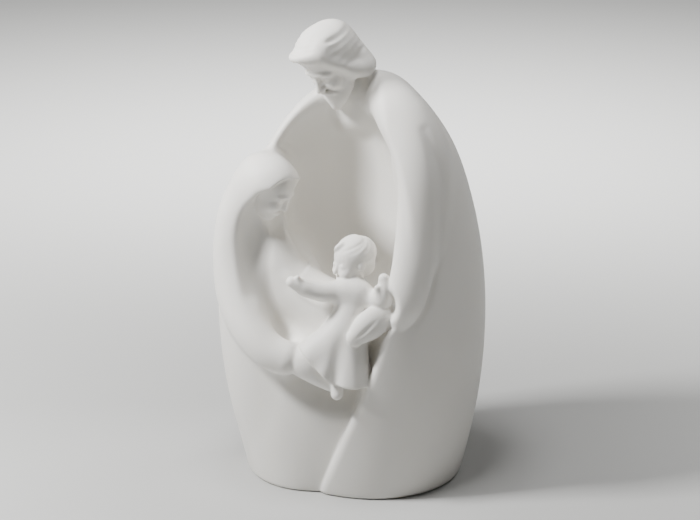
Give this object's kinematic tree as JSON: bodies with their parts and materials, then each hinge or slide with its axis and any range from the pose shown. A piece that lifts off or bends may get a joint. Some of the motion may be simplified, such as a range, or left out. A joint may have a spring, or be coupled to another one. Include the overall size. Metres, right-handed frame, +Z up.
{
  "type": "holy family statue",
  "caption": "White bisque porcelain statuette of a cloaked, bearded father bending over a veiled mother and a small child with open arms.",
  "frame": {"origin": "On the underside, at the centre line of the base, where the statue rests on its shelf.", "axes": "+Z up, -Y to the front, towards which the faces and the child look, +X to the viewer's right."},
  "size_m": [0.1451, 0.1101, 0.25],
  "materials": {
    "white_bisque_porcelain": null
  },
  "bodies": {
    "root": {"holy_family_statue": "white_bisque_porcelain"}
  },
  "joints": []
}
